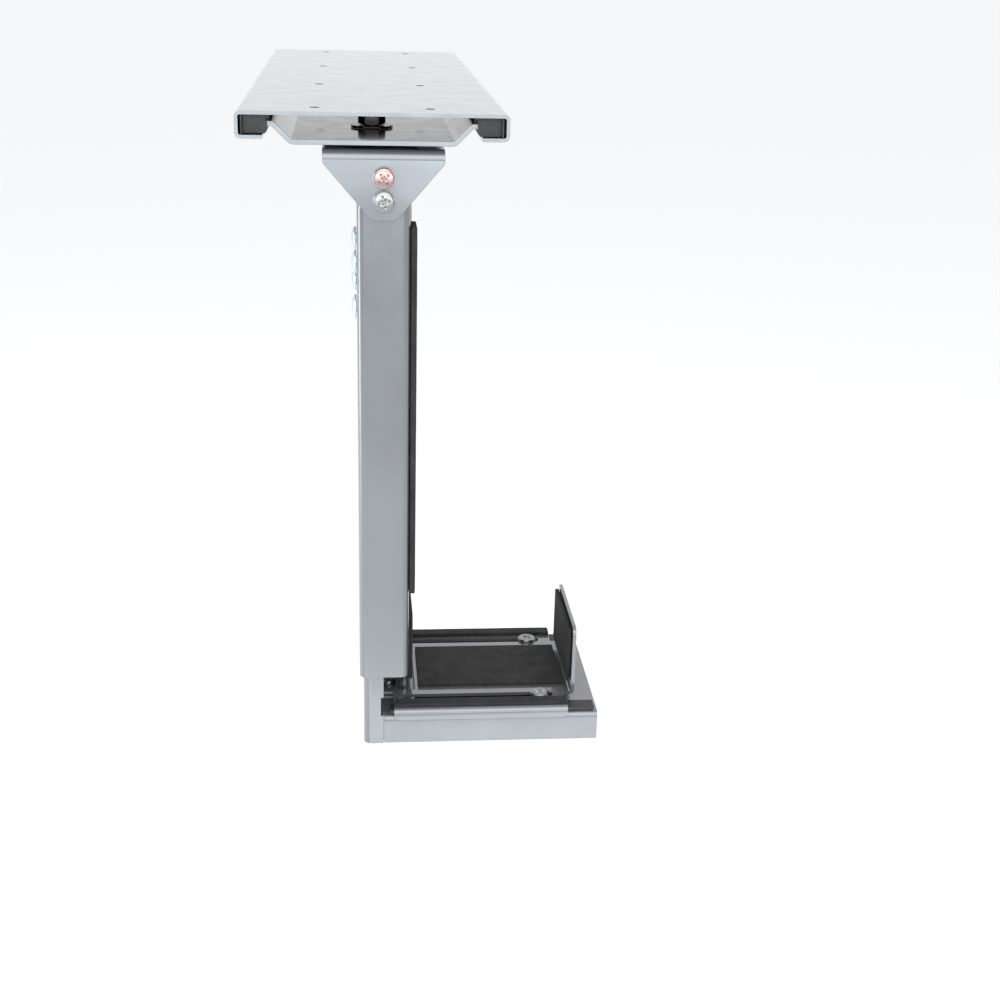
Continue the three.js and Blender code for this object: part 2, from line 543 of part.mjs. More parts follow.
// ---------------------------------------------------------------- the sliding half of the tray
function traySlider() {
  const half = SHEET / 2;
  const front = INNER_FRONT - GAP - half;
  const back = INNER_BACK + GAP + half;
  const high = SLIDER_TOP - half;
  const low = SLIDER_TOP - SLIDER_LIP;
  const cover = extrude("yz", sheetOutline([[front, low], [front, high], [back, high], [back, low]],
    SHEET, TRAY_BEND), SLIDER_START, STOP_LIP_RIGHT - 6);
  const rounding = extrude("xz", roundedOutline([
    [SLIDER_START, low, 4], [STOP_LIP_RIGHT - 6, low, 4], [STOP_LIP_RIGHT - 6, SLIDER_TOP + 1],
    [SLIDER_START, SLIDER_TOP + 1],
  ]), front - 2, back + 2);
  const lipX = STOP_LIP_LEFT + half;
  const lip = extrude("xz", sheetOutline(
    [[STOP_LIP_RIGHT - 12, high], [lipX, high], [lipX, SLIDER_TOP + STOP_LIP.height]], SHEET, TRAY_BEND),
  front + STOP_LIP.inset, back - STOP_LIP.inset);
  const lipTop = SLIDER_TOP + STOP_LIP.height;
  const lipCorners = extrude("yz", roundedOutline([
    [front + STOP_LIP.inset, low - 1], [back - STOP_LIP.inset, low - 1],
    [back - STOP_LIP.inset, lipTop, 6], [front + STOP_LIP.inset, lipTop, 6],
  ]), SLIDER_START, STOP_LIP_RIGHT + 1);
  const notchHalf = SIDE_PLATE.width / 2 + 3;
  const notch = box([SLIDER_START - 1, NOTCH_END], [CARRIAGE_Y - notchHalf, CARRIAGE_Y + notchHalf],
    [low - 1, SLIDER_TOP + 1]);
  const radius = M5.shank + 0.4;
  const slots = lockPlaces(0).map(([x, y]) => slot("xy", [x - SLIDER_TRAVEL.outward - 1, y],
    [x + SLIDER_TRAVEL.inward + 1, y], radius, SLIDER_BOTTOM - 1, SLIDER_TOP + 1));
  return cut(joinAll([keepInside(cover, rounding), keepInside(lip, lipCorners)]), [notch, ...slots]);
}

function lipPad() {
  const edge = STOP_LIP.inset + 3;
  return box([LIP_PAD_LEFT, LIP_PAD_RIGHT], [INNER_FRONT + edge, INNER_BACK - edge],
    [SLIDER_TOP + FLOOR_PAD + 3, SLIDER_TOP + STOP_LIP.height - 3]);
}

function floorPad(x, y) {
  return box(x, y, [SLIDER_TOP + GAP, SLIDER_TOP + GAP + FLOOR_PAD]);
}

// ---------------------------------------------------------------- assembly
const holder = new THREE.Group();

function add(group, name, geometry, material) {
  const mesh = new THREE.Mesh(geometry, material);
  mesh.name = name;
  group.add(mesh);
}

const track = new THREE.Group();
add(track, "desk_track", deskTrack(), steelCoat());
for (const [place, y] of [["front", -STOP_PIN.y], ["rear", STOP_PIN.y]]) {
  add(track, `${place}_stop_pin_left`, stopPin(-STOP_PIN.x, y), blackSteel());
  add(track, `${place}_stop_pin_right`, stopPin(STOP_PIN.x, y), blackSteel());
}

const carriage = new THREE.Group();
add(carriage, "carriage_plate", carriagePlate(), steelCoat());
for (const [place, end] of [["front", -1], ["rear", 1]]) {
  add(carriage, `glide_${place}_left`, glide(-1, end), nylon());
  add(carriage, `glide_${place}_right`, glide(1, end), nylon());
}
add(carriage, "pivot_bolt", pivotBolt(), blackSteel());
add(carriage, "pivot_nut", pivotNut(), blackSteel());
add(carriage, "pivot_washer_upper",
  pivotRing(PIVOT_WASHER.radius, PIVOT_WASHER.height, FLOOR_TOP + GAP), blackSteel());
add(carriage, "pivot_washer_lower",
  pivotRing(PIVOT_WASHER.radius, PIVOT_WASHER.height, BRACKET_UNDER - GAP - PIVOT_WASHER.height), zinc());
add(carriage, "swivel_disc", pivotRing(DISC.radius, DISC.height, DISC_BOTTOM), nylon());

const swivel = new THREE.Group();
add(swivel, "swivel_bracket", swivelBracket(), steelCoat());
BRACKET_SCREW_Z.forEach((z, row) => {
  const level = ["upper", "lower"][row];
  const nutBack = OUTER_BACK - SHEET - GAP - M6.nutHeight;
  add(swivel, `bracket_screw_front_${level}`,
    placed(bracketScrew(), "-y", [COLUMN_X, CARRIAGE_FRONT - GAP, z]), zinc());
  add(swivel, `bracket_screw_rear_${level}`,
    placed(bracketScrew(), "+y", [COLUMN_X, CARRIAGE_BACK + GAP, z]), zinc());
  add(swivel, `bracket_nut_front_${level}`,
    placed(nut(M6), "+y", [COLUMN_X, OUTER_FRONT + SHEET + GAP, z]), zinc());
  add(swivel, `bracket_nut_rear_${level}`, placed(nut(M6), "+y", [COLUMN_X, nutBack, z]), zinc());
});
add(swivel, "outer_column", outerColumn(), steelCoat());
add(swivel, "upper_pad_front", upperPad(OUTER_FRONT + 2), foam());
add(swivel, "upper_pad_rear", upperPad(OUTER_BACK - 2 - UPPER_PAD.width), foam());

const lowerFrame = new THREE.Group();
add(lowerFrame, "inner_column", innerColumn(), steelCoat());
add(lowerFrame, "column_guide_front", columnGuide(-1), nylon());
add(lowerFrame, "column_guide_rear", columnGuide(1), nylon());
heightBoltRows().forEach((y, row) => {
  const end = ["front", "rear"][row];
  HEIGHT_BOLT_Z.forEach((z, rank) => {
    const level = ["upper", "lower"][rank];
    add(lowerFrame, `height_bolt_${end}_${level}`,
      placed(heightBolt(), "-x", [OUTER_LEFT - GAP, y, z]), steelCoat());
    add(lowerFrame, `height_nut_${end}_${level}`, placed(heightNut(), "+x", [WEB_FACE + GAP, y, z]), zinc());
  });
});
add(lowerFrame, "tray_base", trayBase(), steelCoat());
add(lowerFrame, "slide_strip_front", slideStrip(INNER_FRONT + 1.5), nylon());
add(lowerFrame, "slide_strip_rear", slideStrip(INNER_BACK - 1.5 - STRIP.width), nylon());
add(lowerFrame, "side_plate", sidePlate(), steelCoat());
add(lowerFrame, "side_pad", sidePad(), foam());
const lockShank = SLIDER_TOP - TRAY_TOP + SHEET + 3 * GAP + LOCK.washer + M5.nutHeight + 1;
["front", "rear"].forEach((end, i) => {
  const [plateX, plateY] = sidePlateScrews(0)[i];
  const [lockX, lockY] = lockPlaces(0)[i];
  const under = TRAY_TOP - SHEET - GAP;
  add(lowerFrame, `side_plate_screw_${end}`,
    placed(crossHeadScrew(M5, 2 * SHEET + 3 * GAP + M5.nutHeight + 1), "+z",
      [plateX, plateY, TRAY_TOP + SHEET + 2 * GAP]), zinc());
  add(lowerFrame, `side_plate_nut_${end}`,
    placed(nut(M5), "+z", [plateX, plateY, under - M5.nutHeight]), zinc());
  add(lowerFrame, `lock_screw_${end}`,
    placed(crossHeadScrew(lockSize, lockShank), "+z", [lockX, lockY, SLIDER_TOP + GAP]), zinc());
  add(lowerFrame, `lock_washer_${end}`,
    placed(washer(5.5, M5.shank + GAP, LOCK.washer), "+z", [lockX, lockY, under - LOCK.washer]), zinc());
  add(lowerFrame, `lock_nut_${end}`,
    placed(nut(M5), "+z", [lockX, lockY, under - LOCK.washer - GAP - M5.nutHeight]), zinc());
});

const slider = new THREE.Group();
add(slider, "tray_slider", traySlider(), steelCoat());
add(slider, "lip_pad", lipPad(), foam());
add(slider, "floor_pad_front",
  floorPad([SLIDER_START + 1, STOP_LIP_LEFT - 4], [INNER_FRONT + 0.5, INNER_FRONT + 8]), foam());
add(slider, "floor_pad_rear",
  floorPad([SLIDER_START + 1, STOP_LIP_LEFT - 4], [INNER_BACK - 8, INNER_BACK - 0.5]), foam());
add(slider, "floor_pad_middle",
  floorPad([NOTCH_END + 2, STOP_LIP_LEFT - 4], [CARRIAGE_Y - 26, CARRIAGE_Y + 26]), foam());

holder.add(track, carriage, swivel, lowerFrame, slider);

export default holder;
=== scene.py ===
"""Looks for the under-desk computer holder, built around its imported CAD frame. Metres throughout."""
import json
import math

import bmesh
import bpy
from mathutils import Matrix, Vector, noise


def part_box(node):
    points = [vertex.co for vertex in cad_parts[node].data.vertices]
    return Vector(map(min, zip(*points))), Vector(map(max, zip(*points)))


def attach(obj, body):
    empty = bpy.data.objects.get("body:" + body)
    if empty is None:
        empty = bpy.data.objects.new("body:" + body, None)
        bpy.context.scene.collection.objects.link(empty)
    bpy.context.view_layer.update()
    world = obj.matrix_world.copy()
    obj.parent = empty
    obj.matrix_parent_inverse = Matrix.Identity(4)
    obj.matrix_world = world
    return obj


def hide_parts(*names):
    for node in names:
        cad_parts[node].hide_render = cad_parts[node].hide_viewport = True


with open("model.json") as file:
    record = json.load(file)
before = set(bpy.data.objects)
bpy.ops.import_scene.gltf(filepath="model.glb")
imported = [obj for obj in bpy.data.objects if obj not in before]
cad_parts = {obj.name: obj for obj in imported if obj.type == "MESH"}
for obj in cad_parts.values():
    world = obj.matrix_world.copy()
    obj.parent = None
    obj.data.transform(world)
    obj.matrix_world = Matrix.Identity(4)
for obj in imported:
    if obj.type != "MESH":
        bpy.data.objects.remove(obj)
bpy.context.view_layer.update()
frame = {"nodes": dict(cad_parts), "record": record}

MM = 0.001
BODY_OF = {node: body for body, nodes in frame["record"]["behaviour"]["bodies"].items() for node in nodes}
SLOT_OF = {part["node"]: part["material_slot"] for part in frame["record"]["subparts"]}

# ---------------------------------------------------------------- camera, at the photograph's angle
CAMERA_PLACE = Vector((-10.5, -1008.5, 85.1)) * MM
CAMERA_YAW = math.radians(5.79)
CAMERA_PITCH = math.radians(-20.3)
CAMERA_ROLL = math.radians(1.58)
CAMERA_LENS = 54.8
SENSOR = 36.0


def make_camera():
    data = bpy.data.cameras.new("camera")
    data.lens = CAMERA_LENS
    data.sensor_width = SENSOR
    data.clip_start = 0.02
    camera = bpy.data.objects.new("camera", data)
    aim = Vector((math.sin(CAMERA_YAW) * math.cos(CAMERA_PITCH),
                  math.cos(CAMERA_YAW) * math.cos(CAMERA_PITCH), math.sin(CAMERA_PITCH)))
    level = Vector((math.cos(CAMERA_YAW), -math.sin(CAMERA_YAW), 0))
    above = level.cross(aim)
    right = level * math.cos(CAMERA_ROLL) + above * math.sin(CAMERA_ROLL)
    up = above * math.cos(CAMERA_ROLL) - level * math.sin(CAMERA_ROLL)
    turn = Matrix((right, up, -aim)).transposed().to_4x4()
    camera.matrix_world = Matrix.Translation(CAMERA_PLACE) @ turn
    bpy.context.collection.objects.link(camera)
    bpy.context.scene.camera = camera


# ---------------------------------------------------------------- materials
class Shader:
    """A Principled material whose nodes are added one by one."""

    def __init__(self, name, **values):
        self.material = bpy.data.materials.new(name)
        self.material.use_nodes = True
        self.tree = self.material.node_tree
        self.surface = self.tree.nodes["Principled BSDF"]
        for socket, value in values.items():
            self.surface.inputs[socket.replace("_", " ")].default_value = value
        self.place = self.tree.nodes.new("ShaderNodeTexCoord").outputs["Object"]

    def link(self, source, target):
        self.tree.links.new(source, target)

    def noise(self, scale, detail=3.0, roughness=0.55, stretch=(1, 1, 1)):
        mapping = self.tree.nodes.new("ShaderNodeMapping")
        mapping.inputs["Scale"].default_value = stretch
        self.link(self.place, mapping.inputs["Vector"])
        texture = self.tree.nodes.new("ShaderNodeTexNoise")
        texture.inputs["Scale"].default_value = scale
        texture.inputs["Detail"].default_value = detail
        texture.inputs["Roughness"].default_value = roughness
        self.link(mapping.outputs["Vector"], texture.inputs["Vector"])
        return texture.outputs["Fac"]

    def cells(self, scale):
        texture = self.tree.nodes.new("ShaderNodeTexVoronoi")
        texture.inputs["Scale"].default_value = scale
        self.link(self.place, texture.inputs["Vector"])
        return texture.outputs["Distance"]

    def ramp(self, factor, stops):
        """Maps a factor to colours: stops are (position, colour) pairs."""
        ramp = self.tree.nodes.new("ShaderNodeValToRGB")
        elements = ramp.color_ramp.elements
        while len(elements) < len(stops):
            elements.new(0.5)
        for element, (position, colour) in zip(elements, stops):
            element.position = position
            element.color = (*colour, 1)
        self.link(factor, ramp.inputs["Fac"])
        return ramp.outputs["Color"]

    def spread(self, factor, low, high):
        """Maps a noise factor, which stays near its middle, to a range of values."""
        spread = self.tree.nodes.new("ShaderNodeMapRange")
        for socket, value in (("From Min", 0.3), ("From Max", 0.7), ("To Min", low), ("To Max", high)):
            spread.inputs[socket].default_value = value
        self.link(factor, spread.inputs["Value"])
        return spread.outputs["Result"]

    def mix(self, factor, first, second, blend="MIX"):
        mix = self.tree.nodes.new("ShaderNodeMix")
        mix.data_type = "RGBA"
        mix.blend_type = blend
        sockets = (mix.inputs["Factor"], mix.inputs["A"], mix.inputs["B"])
        for socket, value in zip(sockets, (factor, first, second)):
            if isinstance(value, bpy.types.NodeSocket):
                self.link(value, socket)
            elif isinstance(value, tuple):
                socket.default_value = (*value, 1)
            else:
                socket.default_value = value
        return mix.outputs["Result"]

    def colour(self, source):
        self.link(source, self.surface.inputs["Base Color"])

    def roughness(self, factor, low, high):
        self.link(self.spread(factor, low, high), self.surface.inputs["Roughness"])

    def bumps(self, *layers):
        """Bump layers, coarse first: (height, strength, distance in metres)."""
        normal = None
        for height, strength, distance in layers:
            bump = self.tree.nodes.new("ShaderNodeBump")
            bump.inputs["Strength"].default_value = strength
            bump.inputs["Distance"].default_value = distance
            self.link(height, bump.inputs["Height"])
            if normal:
                self.link(normal, bump.inputs["Normal"])
            normal = bump.outputs["Normal"]
        self.link(normal, self.surface.inputs["Normal"])


def powder_coat(name, colour, roughness):
    """Satin powder coat: orange peel a millimetre across, faint cloudiness and fine metallic grain."""
    shader = Shader(name, Metallic=0.55, Coat_Weight=0.8, Coat_Roughness=0.07)
    cloud = shader.noise(16, detail=2)
    darker = tuple(channel * 0.955 for channel in colour)
    lighter = tuple(min(1.0, channel * 1.03) for channel in colour)
    clouded = shader.ramp(cloud, [(0.35, darker), (0.65, lighter)])
    grain = shader.noise(5200, detail=1)
    flecks = shader.ramp(grain, [(0.4, (0.94, 0.94, 0.945)), (0.72, (1, 1, 1))])
    shader.colour(shader.mix(0.5, clouded, flecks, "MULTIPLY"))
    shader.roughness(shader.noise(60, detail=4), roughness - 0.04, roughness + 0.05)
    peel = shader.noise(900, detail=1.5)
    shader.bumps((shader.noise(170, detail=1), 0.02, 0.0004), (peel, 0.07, 0.00012))
    return shader.material


def zinc_plate(name, tints, metallic=1.0):
    """Zinc plate with the faint colours of a passivation layer, and a fine grain."""
    shader = Shader(name, Metallic=metallic)
    shader.colour(shader.ramp(shader.noise(140, detail=1.5), tints))
    shader.roughness(shader.noise(420, detail=4), 0.10, 0.26)
    shader.bumps((shader.noise(1500, detail=3), 0.12, 0.00008))
    return shader.material


def black_oxide():
    """Oiled black oxide on turned steel: dark, glossy, browner where it is thin."""
    shader = Shader("black_steel", Metallic=0.85, Coat_Weight=0.6, Coat_Roughness=0.08)
    thin = shader.noise(210, detail=4)
    shader.colour(shader.ramp(thin, [(0.36, (0.010, 0.010, 0.011)), (0.68, (0.040, 0.026, 0.022))]))
    shader.roughness(shader.noise(700, detail=3), 0.16, 0.36)
    shader.bumps((shader.noise(1900, detail=2), 0.12, 0.00008))
    return shader.material


def moulded_nylon():
    """Black nylon as moulded: fine spark texture, and grey scuffs drawn along the slide."""
    shader = Shader("black_nylon", Metallic=0.0)
    scuffs = shader.noise(260, detail=6, roughness=0.65, stretch=(4, 0.35, 4))
    shader.colour(shader.ramp(scuffs, [
        (0.40, (0.0105, 0.011, 0.0125)), (0.60, (0.018, 0.018, 0.020)), (0.74, (0.055, 0.054, 0.056)),
    ]))
    shader.roughness(shader.noise(500, detail=3), 0.34, 0.56)
    shader.bumps((shader.noise(2400, detail=2), 0.16, 0.00008))
    return shader.material


def foam_rubber():
    """Closed-cell foam: matt, with a skin of small dimples and dust in them."""
    shader = Shader("black_foam", Metallic=0.0)
    dust = shader.noise(90, detail=5, roughness=0.7)
    shader.colour(shader.ramp(dust, [(0.38, (0.010, 0.010, 0.0108)), (0.70, (0.026, 0.026, 0.027))]))
    shader.roughness(shader.noise(800, detail=2), 0.78, 0.97)
    shader.bumps((shader.noise(230, detail=2), 0.22, 0.0003), (shader.cells(1900), 0.55, 0.0003))
    return shader.material


COAT_COLOUR = (0.188, 0.200, 0.213)
COAT_ROUGHNESS = 0.22
COAT_EDGE_HIGHLIGHT_COLOUR = (0.50, 0.60, 0.65)  # painted highlight: cut edges and bevels are coloured lighter for the light they catch
COAT_EDGE_ROUGHNESS = 0.24
GREY_ZINC_TINTS = [
    (0.34, (0.27, 0.29, 0.29)), (0.47, (0.31, 0.31, 0.32)),
    (0.56, (0.30, 0.29, 0.29)), (0.68, (0.29, 0.29, 0.28)),
]
PINK_ZINC_TINTS = [
    (0.34, (0.38, 0.34, 0.33)), (0.46, (0.40, 0.28, 0.27)),
    (0.56, (0.40, 0.25, 0.24)), (0.68, (0.38, 0.30, 0.29)),
]
# Painted highlight: near-white tints that stand for light caught by screw rims and recess walls.
PAINTED_HIGHLIGHT_ZINC_TINTS = [(0.34, (0.80, 0.90, 0.84)), (0.50, (0.92, 0.92, 0.92)), (0.62, (0.90, 0.88, 0.90))]
MATERIALS = {
    "coated_steel": powder_coat("coated_steel", COAT_COLOUR, COAT_ROUGHNESS),
    "edge_coat_painted_highlight": powder_coat("edge_coat_painted_highlight", COAT_EDGE_HIGHLIGHT_COLOUR, COAT_EDGE_ROUGHNESS),
    "zinc_steel": zinc_plate("zinc_steel", GREY_ZINC_TINTS),
    "tinted_zinc": zinc_plate("tinted_zinc", PINK_ZINC_TINTS),
    "painted_highlight_zinc": zinc_plate("painted_highlight_zinc", PAINTED_HIGHLIGHT_ZINC_TINTS, metallic=0.55),
    "black_steel": black_oxide(),
    "black_nylon": moulded_nylon(),
    "black_foam": foam_rubber(),
}


# ---------------------------------------------------------------- mesh work
WELD_DISTANCE = 2e-6
FLAT_ANGLE = math.radians(0.8)  # faces that meet at less than this are one flat face
SHEET_EDGE = 0.35 * MM
MOULDED_EDGE = 0.4 * MM


def applied(built):
    """The mesh of an object with its modifiers applied. The object is thrown away."""
    graph = bpy.context.evaluated_depsgraph_get()
    mesh = bpy.data.meshes.new_from_object(built.evaluated_get(graph))
    bpy.data.objects.remove(built)
    return mesh


def temporary(mesh):
    built = bpy.data.objects.new("temporary", mesh)
    bpy.context.collection.objects.link(built)
    return built


def shaded(mesh, smooth_angle):
    """Smooth shading whose normals follow the widest faces, so flat faces stay flat up to their bevels."""
    mesh.polygons.foreach_set("use_smooth", [True] * len(mesh.polygons))
    mesh.set_sharp_from_angle(angle=math.radians(smooth_angle))
    built = temporary(mesh)
    weighted = built.modifiers.new("weighted", "WEIGHTED_NORMAL")
    weighted.mode = "FACE_AREA"
    weighted.weight = 100
    weighted.keep_sharp = True
    return applied(built)


def piece(name, mesh, node, materials, smooth_angle=40):
    """A finished mesh becomes a piece that rides on its CAD node's body and stands for that node."""
    mesh.materials.clear()
    for material in materials:
        mesh.materials.append(MATERIALS[material])
    built = bpy.data.objects.new(name, shaded(mesh, smooth_angle))
    bpy.context.collection.objects.link(built)
    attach(built, BODY_OF[node])
    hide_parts(node)
    return built


def bevelled(mesh, width, segments=2, angle=50, edge_material=0):
    built = temporary(mesh)
    bevel = built.modifiers.new("bevel", "BEVEL")
    bevel.width = width
    bevel.segments = segments
    bevel.limit_method = "ANGLE"
    bevel.angle_limit = math.radians(angle)
    bevel.use_clamp_overlap = True
    bevel.material = edge_material
    return applied(built)


def merged_cad_mesh(node):
    """A copy of a CAD node's mesh with its vertices welded and its flat faces whole again."""
    mesh = frame["nodes"][node].data.copy()
    work = bmesh.new()
    work.from_mesh(mesh)
    bmesh.ops.remove_doubles(work, verts=work.verts, dist=WELD_DISTANCE)
    bmesh.ops.dissolve_limit(work, angle_limit=FLAT_ANGLE, verts=work.verts, edges=work.edges)
    work.to_mesh(mesh)
    work.free()
    return mesh


def sheet_metal(node, cut_axis):
    """Bent sheet: its edges, and the faces cut across one axis, take a lighter coat colour, a painted
    highlight.
    """
    mesh = merged_cad_mesh(node)
    mesh.materials.clear()
    mesh.materials.append(MATERIALS["coated_steel"])
    mesh.materials.append(MATERIALS["edge_coat_painted_highlight"])
    # Faces cut across the axis, and the bevels, get the lighter coat as a painted highlight.
    along = Vector([float(letter == cut_axis) for letter in "xyz"])
    for face in mesh.polygons:
        face.material_index = int(abs(face.normal.dot(along)) > 0.99)
    rounded = bevelled(mesh, SHEET_EDGE, segments=3, edge_material=1)
    piece(f"{node}_sheet", rounded, node, ["coated_steel", "edge_coat_painted_highlight"])


def moulding(node):
    rounded = bevelled(merged_cad_mesh(node), MOULDED_EDGE, segments=3, angle=30)
    piece(f"{node}_moulding", rounded, node, [SLOT_OF[node]])


AXES = {
    "+x": Matrix.Rotation(math.pi / 2, 4, "Y"), "-x": Matrix.Rotation(-math.pi / 2, 4, "Y"),
    "+y": Matrix.Rotation(-math.pi / 2, 4, "X"), "-y": Matrix.Rotation(math.pi / 2, 4, "X"),
    "+z": Matrix.Identity(4), "-z": Matrix.Rotation(math.pi, 4, "X"),
}


def placed(mesh, axis, place):
    """Turns a mesh that points up +Z along an axis, and moves it."""
    mesh.transform(Matrix.Translation(place) @ AXES[axis])
    return mesh


def lathe(profile, steps=64):
    """A closed profile of (radius, height) points turned round Z."""
    work = bmesh.new()
    rings = []
    for radius, height in profile:
        if radius < 1e-9:
            rings.append([work.verts.new((0, 0, height))])
            continue
        turns = [2 * math.pi * i / steps for i in range(steps)]
        rings.append([work.verts.new((radius * math.cos(a), radius * math.sin(a), height)) for a in turns])
    for lower, upper in zip(rings, rings[1:] + rings[:1]):
        if len(lower) == 1 and len(upper) == 1:
            continue
        for i in range(steps):
            j = (i + 1) % steps
            corners = [lower[i % len(lower)], lower[j % len(lower)],
                       upper[j % len(upper)], upper[i % len(upper)]]
            corners = list(dict.fromkeys(corners))
            if len(corners) > 2:
                work.faces.new(corners)
    bmesh.ops.recalc_face_normals(work, faces=work.faces)
    mesh = bpy.data.meshes.new("lathe")
    work.to_mesh(mesh)
    work.free()
    return mesh


def arc(centre, radius, start, end, steps=6):
    """Points on an arc in the profile plane, angles in degrees."""
    angles = [math.radians(start + (end - start) * i / steps) for i in range(steps + 1)]
    return [(centre[0] + radius * math.cos(a), centre[1] + radius * math.sin(a)) for a in angles]


def boolean(mesh, tool, operation):
    base = temporary(mesh)
    cutter = temporary(tool)
    modifier = base.modifiers.new("boolean", "BOOLEAN")
    modifier.operation = operation
    modifier.object = cutter
    modifier.solver = "EXACT"
    result = applied(base)
    bpy.data.objects.remove(cutter)
    return result


def prism(outline, bottom, top, top_scale=1.0):
    """An outline in XY carried from one height to another, drawn in or out at the top."""
    work = bmesh.new()
    lower = [work.verts.new((x, y, bottom)) for x, y in outline]
    upper = [work.verts.new((x * top_scale, y * top_scale, top)) for x, y in outline]
    work.faces.new(list(reversed(lower)))
    work.faces.new(upper)
    for i, corner in enumerate(lower):
        j = (i + 1) % len(lower)
        work.faces.new((corner, lower[j], upper[j], upper[i]))
    bmesh.ops.recalc_face_normals(work, faces=work.faces)
    mesh = bpy.data.meshes.new("prism")
    work.to_mesh(mesh)
    work.free()
    return mesh


# ---------------------------------------------------------------- fasteners
# Each is made pointing up +Z with its head or flange resting on z = 0, then placed where its CAD node lies.
# Shanks, bores and flats are given as half of their width.
M5_SHANK = 2.5 * MM
M5_BORE = 2.8 * MM
M6_SHANK = 3 * MM
M6_BORE = 3.3 * MM
PIVOT_SHANK = 4 * MM
PIVOT_BORE = 4.3 * MM
PIVOT_HEAD_HEIGHT = 4.6 * MM
BRACKET_SCREW_HEAD_HEIGHT = 2.7 * MM
SIDE_PLATE_SCREW_HEAD_HEIGHT = 2.4 * MM
LOCK_SCREW_HEAD_HEIGHT = 1.7 * MM
CUP_HEAD_HEIGHT = 2.9 * MM
CUP_RIM_HEIGHT = 0.45 * MM
CUP_NECK_LENGTH = 2.2 * MM
NYLON_COLLAR = 1.9 * MM
NUT_FLANGE = 1.4 * MM
FLANGE_NUT_FLAT = 5 * MM
HEXAGON_EDGE = 0.12 * MM
RECESS_EDGE = 0.07 * MM
OVERCUT = 1 * MM  # how far a cutting tool reaches past what it cuts


def cross_outline(arm, half):
    """A plus sign with slightly splayed arms."""
    inner = half * 1.15
    quarter = [(arm, -half), (arm, half), (inner, inner)]
    points = []
    for turn in range(4):
        cosine, sine = round(math.cos(turn * math.pi / 2)), round(math.sin(turn * math.pi / 2))
        points += [(x * cosine - y * sine, x * sine + y * cosine) for x, y in quarter]
    return points


def node_frame(node, axis):
    """A node's box read along an axis: where it starts, how long it is and its two sizes across."""
    low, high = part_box(node)
    index = "xyz".index(axis[1])
    outward = 1 if axis[0] == "+" else -1
    start = (low + high) / 2
    start[index] = low[index] if outward > 0 else high[index]
    across = sorted((high - low)[i] for i in range(3) if i != index)
    return start, (high - low)[index], across


def direction(axis):
    along = Vector((0, 0, 0))
    along["xyz".index(axis[1])] = 1 if axis[0] == "+" else -1
    return along


def shank_profile(shank, length):
    """From the tip of a shank, chamfered, up to the underside of its head."""
    return [(0, -length), (shank - 0.5 * MM, -length), (shank, -length + 0.6 * MM), (shank, 0)]


def cross_head_mesh(head, height, shank, length, swing):
    """A pan head: a thin foot painted dark as a painted shadow, a rolled rim, a flatter face and a cross
    recess; the rim and the recess walls carry a painted highlight.
    """
    foot = 0.34 * MM
    edge = head - 0.32 * MM
    roll = 0.34 * height
    rim = height - 1.3 * roll
    face = height * 0.93
    above = height + 0.2 * MM
    profile = shank_profile(shank, length)
    profile += [(head - 0.1 * MM, 0), (head, 0.1 * MM), (head, foot - 0.08 * MM), (head - 0.08 * MM, foot)]
    profile += [(edge, foot), (edge, rim)]
    profile += arc((edge - roll, rim), roll, 8, 66, 7)
    rim_end = profile[-1]
    profile += [(rim_end[0] - 0.18 * MM, face - 0.02 * height), (rim_end[0] - 0.5 * MM, face)]
    profile += [(head * share, face + 0.07 * height * (1 - share)) for share in (0.5, 0.25)]
    profile += [(0, height)]
    body = lathe(profile, 72)
    arm = head * 0.4092
    half_width = head * 0.0825
    recess = prism(cross_outline(arm, half_width), height * 0.66, above, 1.45)
    recess.transform(Matrix.Rotation(math.radians(swing), 4, "Z"))
    well = lathe([(0, height * 0.50), (head * 0.10, height * 0.56), (head * 0.32, above), (0, above)], 32)
    cut = boolean(boolean(body, recess, "DIFFERENCE"), well, "DIFFERENCE")
    mesh = bevelled(cut, RECESS_EDGE, segments=2, angle=38)
    # The rim and the recess walls take the second material, a painted highlight.
    plated, bright, dark = 0, 1, 2
    for polygon in mesh.polygons:
        centre = polygon.center
        from_axis = math.hypot(centre.x, centre.y)
        in_recess = 0.2 * height < centre.z < face - 0.01 * height and from_axis < head * 0.72
        on_rim = from_axis > edge - roll and centre.z > foot
        # The foot is painted in black steel as a painted shadow where the head meets the plate.
        on_foot = from_axis > shank + 0.1 * MM and 0 <= centre.z <= foot
        if on_foot:
            polygon.material_index = dark
        else:
            polygon.material_index = bright if in_recess or on_rim else plated
    return mesh


def cross_head_screw(node, axis, shank, height, swing, material="zinc_steel"):
    """A screw whose cross recess is turned by swing degrees."""
    start, length, across = node_frame(node, axis)
    shank_length = length - height
    mesh = cross_head_mesh(across[0] / 2, height, shank, shank_length, swing)
    placed(mesh, axis, start + direction(axis) * shank_length)
    # The second material is a painted highlight, the third a painted shadow at the foot.
    piece(f"{node}_cross_head", mesh, node, [material, "painted_highlight_zinc", "black_steel"])


